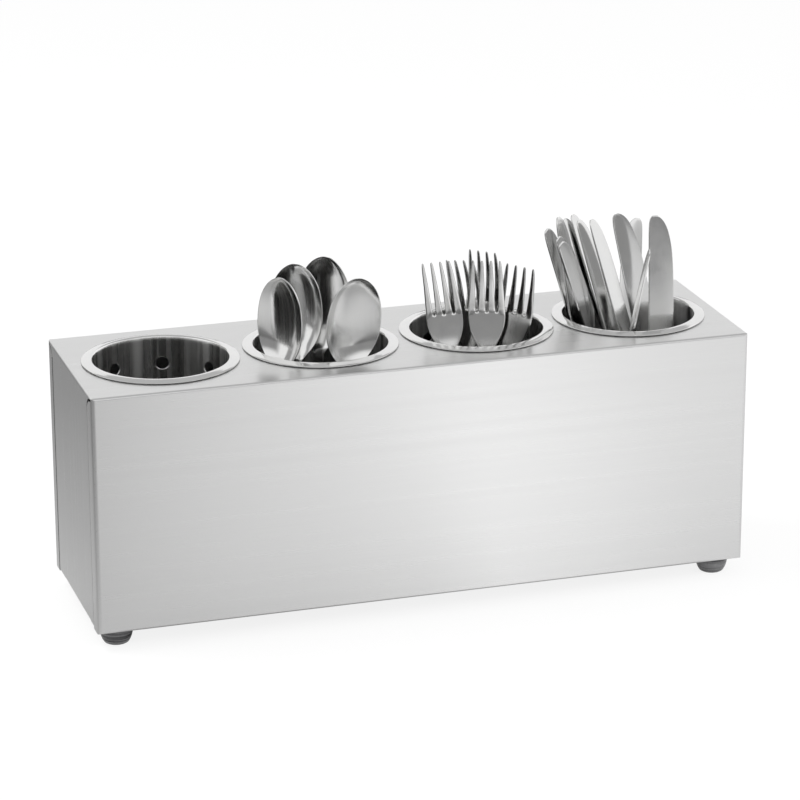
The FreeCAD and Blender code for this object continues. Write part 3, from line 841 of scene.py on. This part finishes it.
# %% Places of the cutlery
stand_radius = 47.0 * MM
stand_margin = 0.1 * MM  # above the lowest point of the solid
spoon_places = [
    ((0.68, 185), (0.85, 206), -57), ((0.37, 202), (0.38, 175), -39),
    ((0.80, 79), (0.51, 71), -42), ((0.10, 313), (0.65, 300), 5),
]
fork_places = [
    ((0.60, 245), (0.59, 198), -24), ((0.15, 352), (0.18, 199), -35),
    ((0.41, 73), (0.31, 58), -38), ((0.28, 38), (0.57, 324), -32), ((0.41, 277), (0.35, 279), -21),
]
knife_places = [
    ((0.84, 74), (0.91, 145), 44), ((0.52, 43), (0.69, 182), 44), ((0.76, 55), (0.69, 158), 48),
    ((0.81, 224), (0.83, 164), 42), ((0.83, 23), (0.80, 107), 43), ((0.49, 344), (0.72, 106), 43),
    ((0.63, 301), (0.39, 133), 40), ((0.77, 316), (0.27, 103), 42), ((0.84, 351), (0.33, 32), 12),
    ((0.67, 248), (0.84, 67), 195), ((0.90, 289), (0.57, 315), -1), ((0.40, 151), (0.79, 255), 73),
]


def polar(place, z):
    """A point at a share of the usable radius and an angle in degrees."""
    share, angle = place
    radius, turn = share * stand_radius, math.radians(angle)
    return Vector((radius * math.cos(turn), radius * math.sin(turn), z))


def stand(node, kind, bm, body, centre_x, place, levels):
    """Lean a piece, set it down where its solid stands, and let it replace the solid."""
    foot, rim, turn = place
    low, high = polar(foot, cup_floor), polar(rim, brim_top)
    lean = Vector((0, 0, 1)).rotation_difference(high - low).to_matrix().to_4x4()
    whole = Matrix.Translation(low + Vector((centre_x, 0, 0))) @ lean
    whole = whole @ Matrix.Rotation(math.radians(turn), 4, "Z")
    bmesh.ops.transform(bm, matrix=whole, verts=bm.verts)
    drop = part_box(node)[0].z - min(v.co.z for v in bm.verts)
    bmesh.ops.translate(bm, verts=bm.verts, vec=(0, 0, drop + stand_margin))
    made = object_from(f"{kind}_{node}", bm, body, cutlery_steel)
    rounding = made.modifiers.new("rounding", "SUBSURF")
    rounding.levels = levels
    rounding.render_levels = levels
    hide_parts(node)


# %% Stand all of it
for n, place in enumerate(spoon_places, 1):
    stand(f"spoon_{n}", "pressed", spoon_body(), "spoons", cup_x[2], place, 2)
for n, place in enumerate(fork_places, 1):
    stand(f"fork_{n}", "pressed", fork_body(), "forks", cup_x[3], place, 2)
for n, place in enumerate(knife_places, 1):
    stand(f"knife_{n}", "forged", knife_body(), "knives", cup_x[4], place, 1)
print("spoons:", len(spoon_places), "forks:", len(fork_places), "knives:", len(knife_places))

# %% [markdown]
# ## The surroundings
# Polished metal shows the studio, so the studio is made for its reflections. The camera sees plain
# white. Matt surfaces get a soft grey light. Reflections see white above and behind, and in front
# of the table a dim room up to the height of a wall, as there is in a real studio beyond the lit
# table. Metal in an all-white room would look flat.

# %% World
room_grey = 0.30  # how bright the dim room is
room_top = (0.26, 0.38)  # Z of the directions between which the room turns into white
room_side = (-0.45, -0.15)  # and Y of the directions between which it does
matt_light = 0.55  # how bright matt surfaces find the surroundings
direct_rays = ("Is Camera Ray", "Is Glossy Ray", "Is Transmission Ray")


def any_of(tree, outputs):
    """One if any of several flags is one, or else the highest of several shares."""
    total = outputs[0]
    for other in outputs[1:]:
        total = calculated(tree, "MAXIMUM", total, other)
    return total


def background(tree, strength):
    """A plain white Background."""
    node = tree.nodes.new("ShaderNodeBackground")
    node.inputs["Color"].default_value = (1, 1, 1, 1)
    node.inputs["Strength"].default_value = strength
    return node


world = bpy.data.worlds.new("white_studio")
bpy.context.scene.world = world
world.use_nodes = True
tree = world.node_tree
tree.nodes.clear()
path = tree.nodes.new("ShaderNodeLightPath")
white = background(tree, 1.0)
soft = background(tree, matt_light)
place = tree.nodes.new("ShaderNodeTexCoord")
split = tree.nodes.new("ShaderNodeSeparateXYZ")
tree.links.new(place.outputs["Generated"], split.inputs["Vector"])
above_room = spread(tree, split.outputs["Z"], room_grey, 1.0, *room_top)
beside_room = spread(tree, split.outputs["Y"], room_grey, 1.0, *room_side)
brightness = any_of(tree, [above_room, beside_room, path.outputs["Is Camera Ray"]])
tree.links.new(brightness, white.inputs["Strength"])
mix = tree.nodes.new("ShaderNodeMixShader")
out = tree.nodes.new("ShaderNodeOutputWorld")
tree.links.new(any_of(tree, [path.outputs[ray] for ray in direct_rays]), mix.inputs["Fac"])
tree.links.new(soft.outputs["Background"], mix.inputs[1])
tree.links.new(white.outputs["Background"], mix.inputs[2])
tree.links.new(mix.outputs["Shader"], out.inputs["Surface"])
print("world: white to the camera, a dim room of grey", room_grey, "in reflections from the front")

# %% [markdown]
# ## The floor
# The floor glows in part by itself, so that it turns out white in the open and still keeps the
# soft shadow under the housing. The long front of the housing mirrors the floor before it, and
# its slow change from grey to bright and back is a pool of light painted on the floor: reflections
# see a pattern of greys on it, read from two lists of marks. A lamp could draw such a pool of
# light, but it would also light the matt surfaces. Under the housing the pattern is dark, a
# painted shadow, as the floor there would be in shade.

# %% The floor's pattern of greys
floor_glow = [  # place along X in metres, grey of the painted pool of light that polished metal sees there
    (-0.75, 0.03), (-0.55, 0.08), (-0.42, 0.24), (-0.32, 0.32), (-0.22, 0.40), (-0.15, 0.54),
    (-0.08, 0.64), (0.0, 0.72), (0.07, 0.82), (0.13, 1.0), (0.20, 0.92), (0.30, 0.76),
    (0.42, 0.68),
]
floor_fade = [  # place along Y in metres, share of that grey
    (-0.55, 1.0), (-0.35, 0.93), (-0.14, 0.80), (-0.03, 0.80), (0.03, 0.93), (0.5, 0.31),
]
glow_slant = 0.25  # how far the pattern of greys slides along X for each metre along Y
glow_shift = 0.0825  # how far it slides to the left as a whole
painted_shadow_reach = {"X": 0.20, "Y": 0.06}  # half sizes of the painted shadow under the housing
painted_shadow_edge = 0.03  # width of its soft edge


def greys_along(tree, value, marks, shift):
    """Greys read from marks of (place in metres, grey)."""
    first, last = marks[0][0], marks[-1][0]
    ramp = tree.nodes.new("ShaderNodeValToRGB")
    for place, _ in marks[1:-1]:
        ramp.color_ramp.elements.new((place - first) / (last - first))
    for element, (place, grey) in zip(ramp.color_ramp.elements, marks):
        element.color = (grey, grey, grey, 1)
    along = spread(tree, value, 0.0, 1.0, first - shift, last - shift)
    tree.links.new(along, ramp.inputs["Fac"])
    return ramp.outputs["Color"]


def pattern_of_greys(tree):
    """The greys of the floor in reflections: a painted pool of light, with a painted shadow under
    the housing.
    """
    place = tree.nodes.new("ShaderNodeTexCoord")
    split = tree.nodes.new("ShaderNodeSeparateXYZ")
    tree.links.new(place.outputs["Object"], split.inputs["Vector"])
    slanted = calculated(
        tree, "MULTIPLY_ADD", split.outputs["Y"], glow_slant, split.outputs["X"]
    )
    across = greys_along(tree, slanted, floor_glow, glow_shift)
    behind = greys_along(tree, split.outputs["Y"], floor_fade, 0.0)
    outside = []
    for axis, reach in painted_shadow_reach.items():
        distance = calculated(tree, "ABSOLUTE", split.outputs[axis])
        outside.append(spread(tree, distance, 0.0, 1.0, reach, reach + painted_shadow_edge))
    open_floor = calculated(tree, "MULTIPLY", across, any_of(tree, outside))
    return calculated(tree, "MULTIPLY", open_floor, behind)


# %% The floor
floor_size = 24.0
matt_grey = 0.8  # of the floor as a source of bounced light
seen_grey = 0.22  # of the floor as the camera sees it, besides its glow
seen_glow = 0.84


def diffuse(tree, grey):
    """A plain matt shader."""
    node = tree.nodes.new("ShaderNodeBsdfDiffuse")
    node.inputs["Color"].default_value = (grey, grey, grey, 1)
    return node


bpy.ops.mesh.primitive_plane_add(size=floor_size, location=(0, 0, 0))
floor = bpy.context.object
floor.name = "pale_floor"
floor_paint = bpy.data.materials.new("pale_floor_paint")
floor_paint.use_nodes = True
tree = floor_paint.node_tree
tree.nodes.clear()
path = tree.nodes.new("ShaderNodeLightPath")
matt = diffuse(tree, matt_grey)
faint = diffuse(tree, seen_grey)
glow = tree.nodes.new("ShaderNodeEmission")
glow.inputs["Strength"].default_value = seen_glow
mirror_glow = tree.nodes.new("ShaderNodeEmission")
tree.links.new(pattern_of_greys(tree), mirror_glow.inputs["Strength"])
which_glow = tree.nodes.new("ShaderNodeMixShader")
both = tree.nodes.new("ShaderNodeAddShader")
mix = tree.nodes.new("ShaderNodeMixShader")
out = tree.nodes.new("ShaderNodeOutputMaterial")
tree.links.new(path.outputs["Is Glossy Ray"], which_glow.inputs["Fac"])
tree.links.new(glow.outputs["Emission"], which_glow.inputs[1])
tree.links.new(mirror_glow.outputs["Emission"], which_glow.inputs[2])
tree.links.new(faint.outputs["BSDF"], both.inputs[0])
tree.links.new(which_glow.outputs["Shader"], both.inputs[1])
tree.links.new(any_of(tree, [path.outputs[ray] for ray in direct_rays]), mix.inputs["Fac"])
tree.links.new(matt.outputs["BSDF"], mix.inputs[1])
tree.links.new(both.outputs["Shader"], mix.inputs[2])
tree.links.new(mix.outputs["Shader"], out.inputs["Surface"])
floor.data.materials.append(floor_paint)
print("floor:", floor_size, "m wide, marks along it:", len(floor_glow), "and", len(floor_fade))

# %% [markdown]
# ## Lamps and cards
# Two soft boxes light the matt surfaces only: a lamp that a spoon mirrors would be a hard white
# spot. Besides the room and the floor, the steel mirrors three cards out of the picture: a pale
# one far behind, a grey ceiling, and a dark one at the left. They give the top, the bends and the
# round shapes their shades. Cards are seen by reflections only and throw no shadow.


# %% Lamps
def turned_to(place, target):
    """The turn that makes a lamp or a card at one point face another."""
    return (Vector(target) - Vector(place)).to_track_quat("-Z", "Y").to_euler()


def soft_box(name, place, target, width, height, power):
    """A rectangular area lamp that faces a point."""
    data = bpy.data.lights.new(name, "AREA")
    data.shape = "RECTANGLE"
    data.size = width
    data.size_y = height
    data.energy = power
    lamp = bpy.data.objects.new(name, data)
    bpy.context.scene.collection.objects.link(lamp)
    lamp.location = place
    lamp.rotation_euler = turned_to(place, target)
    lamp.visible_glossy = False
    print(name, "of", power, "watts")


soft_box("soft_box_right", (1.6, -1.3, 1.3), (0.1, 0, 0.1), 0.9, 1.2, 14.0)
soft_box("soft_box_left_above", (-1.1, 0.5, 1.7), (0, 0, 0.15), 1.2, 0.9, 16.0)


# %% Cards
def card(name, place, target, width, height, grey):
    """A card that only reflections can see."""
    bm = bmesh.new()
    corners = ((-1, -1), (1, -1), (1, 1), (-1, 1))
    bm.faces.new([bm.verts.new((x * width / 2, y * height / 2, 0)) for x, y in corners])
    mesh = bpy.data.meshes.new(name)
    bm.to_mesh(mesh)
    bm.free()
    paint = bpy.data.materials.new(name + "_paint")
    paint.use_nodes = True
    tree = paint.node_tree
    tree.nodes.clear()
    glow = tree.nodes.new("ShaderNodeEmission")
    glow.inputs["Color"].default_value = (grey, grey, grey, 1)
    glow.inputs["Strength"].default_value = 1.0
    out = tree.nodes.new("ShaderNodeOutputMaterial")
    tree.links.new(glow.outputs["Emission"], out.inputs["Surface"])
    mesh.materials.append(paint)
    made = bpy.data.objects.new(name, mesh)
    bpy.context.scene.collection.objects.link(made)
    made.location = place
    made.rotation_euler = turned_to(place, target)
    made.visible_camera = False
    made.visible_diffuse = False
    made.visible_shadow = False
    made.visible_transmission = False
    made.visible_volume_scatter = False
    print(name, "of grey", grey)


card("grey_ceiling", (0.0, 0.5, 2.4), (0, 0.5, 0), 4.4, 5.0, 0.48)
card("grey_card_back", (0.3, 5.0, 1.9), (0.1, 0, 0.2), 9.0, 3.6, 0.90)
card("grey_card_left", (-2.0, 1.8, 0.6), (0, 0, 0.1), 2.4, 1.6, 0.35)

# %% [markdown]
# ## Colours
# The Standard view shows a colour about as it is written, which is right for a product on white.

# %% Finish
bpy.context.scene.view_settings.view_transform = "Standard"
